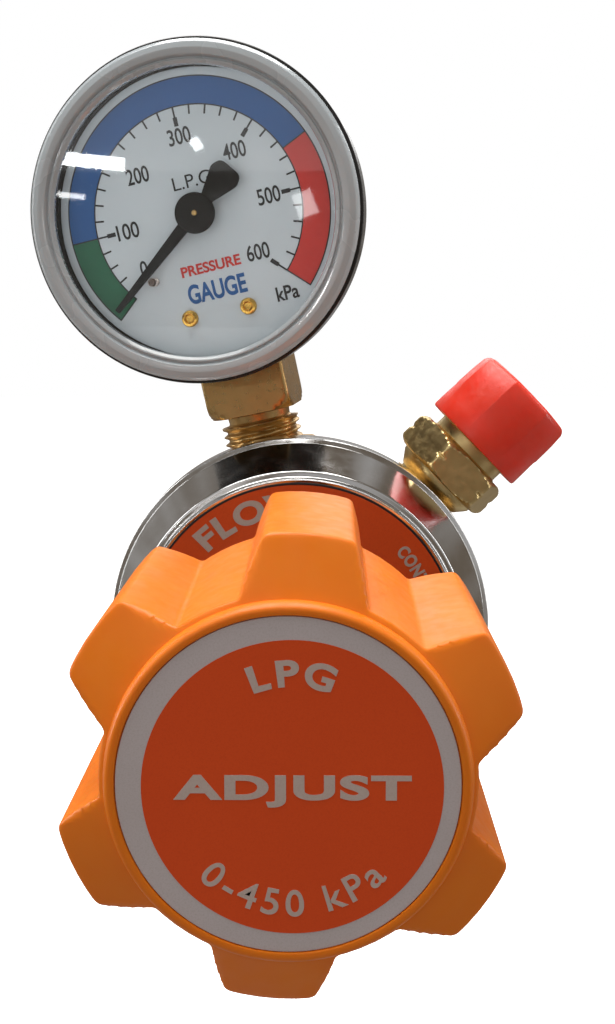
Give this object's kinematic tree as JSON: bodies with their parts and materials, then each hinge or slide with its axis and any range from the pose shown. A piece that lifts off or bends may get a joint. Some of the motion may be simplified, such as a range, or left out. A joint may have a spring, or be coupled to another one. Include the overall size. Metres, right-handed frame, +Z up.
{
  "type": "gas regulator",
  "caption": "Gas pressure regulator with a lobed adjusting knob, delivery gauge, capped threaded outlet and free-turning inlet nut.",
  "frame": {"origin": "on the knob's axis, halfway along the inlet nut's thread", "axes": "+Y along the knob's axis towards the gas supply, +Z up with the gauge and the outlet above the body, +X to the outlet's side"},
  "size_m": [0.0864, 0.141, 0.1229],
  "materials": {
    "knob_plastic": "moulded orange plastic, satin",
    "knob_label": "printed label, grey ring round an orange-red disc",
    "bonnet_label": "printed ring label",
    "chrome": "polished chrome plate",
    "brass": "machined brass",
    "steel": "zinc-plated steel",
    "spring_steel": "oil-tempered spring wire",
    "rubber": "black nitrile rubber",
    "cap_plastic": "soft red plastic",
    "gauge_black": "gloss black enamel on pressed steel",
    "clear_plastic": "clear moulded plastic",
    "dial_print": "white printed aluminium",
    "pointer_black": "matt black on aluminium",
    "sintered": "sintered bronze"
  },
  "bodies": {
    "regulator_body": {"body": "brass", "bonnet": "chrome", "bonnet_label": "bonnet_label", "main_spring": "spring_steel", "slip_washer": "steel", "diaphragm": "rubber", "nozzle": "brass", "poppet_spring": "spring_steel", "spring_retainer": "brass", "inlet_filter": "sintered", "inlet_stem": "brass", "stem_o_ring": "rubber", "nose_o_ring": "rubber", "nut_retaining_ring": "spring_steel", "outlet_connector": "brass", "gauge_socket": "brass", "throttle_screw": "brass", "gauge_case": "gauge_black", "case_screws": "steel", "blow_out_plug": "rubber", "gauge_lens": "clear_plastic", "lens_gasket": "rubber", "dial": "dial_print", "dial_screws": "brass", "stop_pin": "clear_plastic", "bourdon_tube": "brass", "movement_front_plate": "brass", "movement_back_plate": "brass", "movement_pillars": "brass", "hairspring": "spring_steel"},
    "spring_button": {"spring_button": "steel", "thrust_ball": "steel"},
    "knob": {"knob": "knob_plastic", "knob_label": "knob_label", "knob_insert": "brass", "knob_screw": "steel", "adjusting_screw": "steel"},
    "valve_stack": {"diaphragm_plate": "steel", "diaphragm_pad": "brass", "valve_poppet": "brass", "valve_seat": "rubber"},
    "pointer": {"pointer": "pointer_black", "pointer_arbor": "brass"},
    "sector": {"sector_gear": "brass"},
    "link": {"link": "brass"},
    "tube_tip": {"tube_tip": "brass"},
    "inlet_nut": {"inlet_nut": "brass"},
    "outlet_cap": {"outlet_cap": "cap_plastic"}
  },
  "joints": [
    {"name": "screw_travel", "type": "slide", "parent": "regulator_body", "child": "spring_button", "axis": [0, 1, 0], "range_m": [0, 0.0105], "deforming": ["main_spring"]},
    {"name": "knob_turn", "type": "hinge", "parent": "spring_button", "child": "knob", "pos_m": [0, -0.1, 0], "axis": [0, 1, 0], "range_deg": [0, 2164]},
    {"name": "valve_lift", "type": "slide", "parent": "regulator_body", "child": "valve_stack", "axis": [0, 1, 0], "range_m": [0, 0.00065], "deforming": ["diaphragm", "poppet_spring"]},
    {"name": "pointer_turn", "type": "hinge", "parent": "regulator_body", "child": "pointer", "pos_m": [-0.01607, -0.06115, 0.0658], "axis": [0.1446, 0.989, 0.0307], "range_deg": [0, 273], "deforming": ["hairspring"]},
    {"name": "sector_turn", "type": "hinge", "parent": "regulator_body", "child": "sector", "pos_m": [-0.01301, -0.0562, 0.05495], "axis": [0.1446, 0.989, 0.0307], "range_deg": [-34.3, 0]},
    {"name": "link_turn", "type": "hinge", "parent": "sector", "child": "link", "pos_m": [-0.01315, -0.05401, 0.05003], "axis": [0.1446, 0.989, 0.0307], "range_deg": [0, 34.3]},
    {"name": "tube_flex", "type": "hinge", "parent": "regulator_body", "child": "tube_tip", "pos_m": [-0.00129, -0.0505, 0.07649], "axis": [0.1446, 0.989, 0.0307], "range_deg": [-8.1, 0], "deforming": ["bourdon_tube"]},
    {"name": "inlet_nut_turn", "type": "hinge", "parent": "regulator_body", "child": "inlet_nut", "pos_m": [0, 0, 0], "axis": [0, 1, 0], "continuous": true},
    {"name": "cap_off", "type": "slide", "parent": "regulator_body", "child": "outlet_cap", "axis": [0.7193, 0, 0.6947], "range_m": [0, 0.022]}
  ],
  "couplings": [
    {"joint": "knob_turn", "follows": "screw_travel", "rad_per_m": 3590.4},
    {"joint": "valve_lift", "follows": "screw_travel", "ratio": 0.057142},
    {"joint": "sector_turn", "follows": "pointer_turn", "ratio": -0.125},
    {"joint": "link_turn", "follows": "pointer_turn", "ratio": 0.125},
    {"joint": "tube_flex", "follows": "pointer_turn", "ratio": -0.029304}
  ]
}
